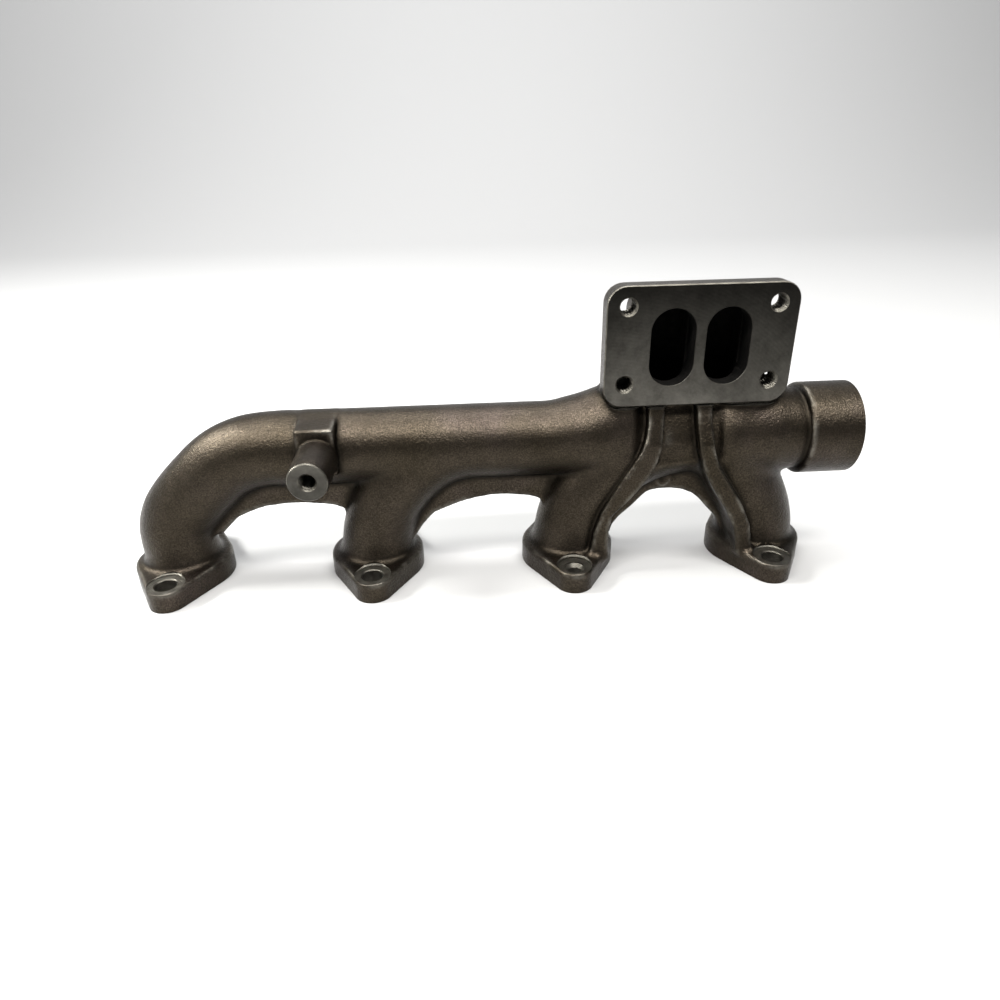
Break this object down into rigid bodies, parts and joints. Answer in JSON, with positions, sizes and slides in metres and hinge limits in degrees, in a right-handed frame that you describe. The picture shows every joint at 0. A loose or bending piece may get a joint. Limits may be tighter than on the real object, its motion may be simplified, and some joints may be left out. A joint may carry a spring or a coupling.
{
  "type": "exhaust manifold",
  "caption": "Cast-iron exhaust manifold section: arched port branches with flanges into a collector, a divided turbocharger flange, a sensor boss and a slip-joint sleeve.",
  "frame": {"origin": "centre of port flange 1 (the elbow end) on its mating face", "axes": "+X along the collector towards the slip joint, +Z away from the cylinder head's face, the turbocharger face looks along -Y"},
  "size_m": [0.4344, 0.1014, 0.1712],
  "materials": {
    "cast_skin": "sand cast, dark olive brown, satin sheen",
    "machined_iron": "machined grey iron, satin"
  },
  "bodies": {
    "root": {"port_flange_1": "cast_skin", "port_flange_2": "cast_skin", "port_flange_3": "cast_skin", "port_flange_4": "cast_skin", "end_elbow_lower": "cast_skin", "end_elbow_middle": "cast_skin", "end_elbow_upper": "cast_skin", "branch_2_lower": "cast_skin", "branch_2_upper": "cast_skin", "branch_3_lower": "cast_skin", "branch_3_upper": "cast_skin", "branch_4_lower": "cast_skin", "branch_4_upper": "cast_skin", "collector": "cast_skin", "riser_left": "cast_skin", "riser_right": "cast_skin", "turbo_flange": "machined_iron", "slip_joint_sleeve": "cast_skin", "arch_web_1": "cast_skin", "arch_web_2": "cast_skin", "centre_web": "cast_skin", "rib_left": "cast_skin", "rib_right_lower": "cast_skin", "rib_right_upper": "cast_skin", "sensor_pad": "cast_skin", "sensor_boss": "machined_iron"}
  },
  "joints": []
}
